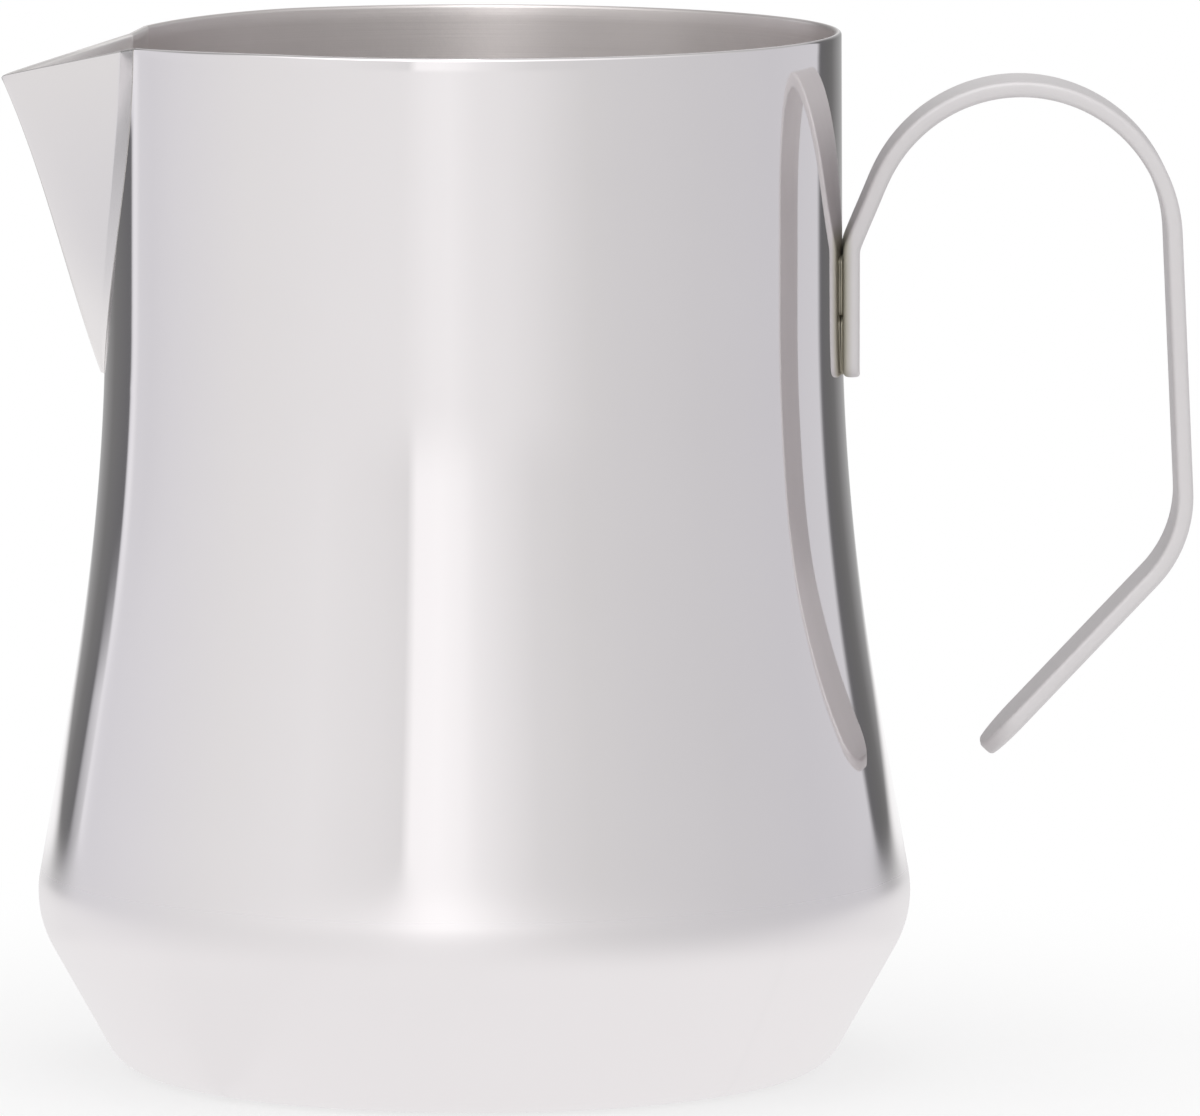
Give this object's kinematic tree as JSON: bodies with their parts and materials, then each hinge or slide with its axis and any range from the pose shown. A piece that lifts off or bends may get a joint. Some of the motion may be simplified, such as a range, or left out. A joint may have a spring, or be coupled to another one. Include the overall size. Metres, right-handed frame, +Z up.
{
  "type": "milk frothing pitcher",
  "caption": "Polished stainless jug for steaming milk, with a flared belly, a pointed welded beak spout and an open bent-strip handle.",
  "frame": {"origin": "centre of the flat underside", "axes": "+Z up along the cup's axis, spout towards -X, handle towards +X"},
  "size_m": [0.1091, 0.0798, 0.095],
  "materials": {
    "polished_steel": "mirror polished outside, satin inside",
    "pressed_steel": "polished",
    "satin_steel": "satin",
    "weld_steel": "as welded, faint straw tint"
  },
  "bodies": {
    "root": {"pitcher_body": "polished_steel", "spout": "pressed_steel", "spout_weld": "weld_steel", "handle_strap": "satin_steel", "handle_weld_lower": "weld_steel", "handle_weld_upper": "weld_steel"}
  },
  "joints": []
}
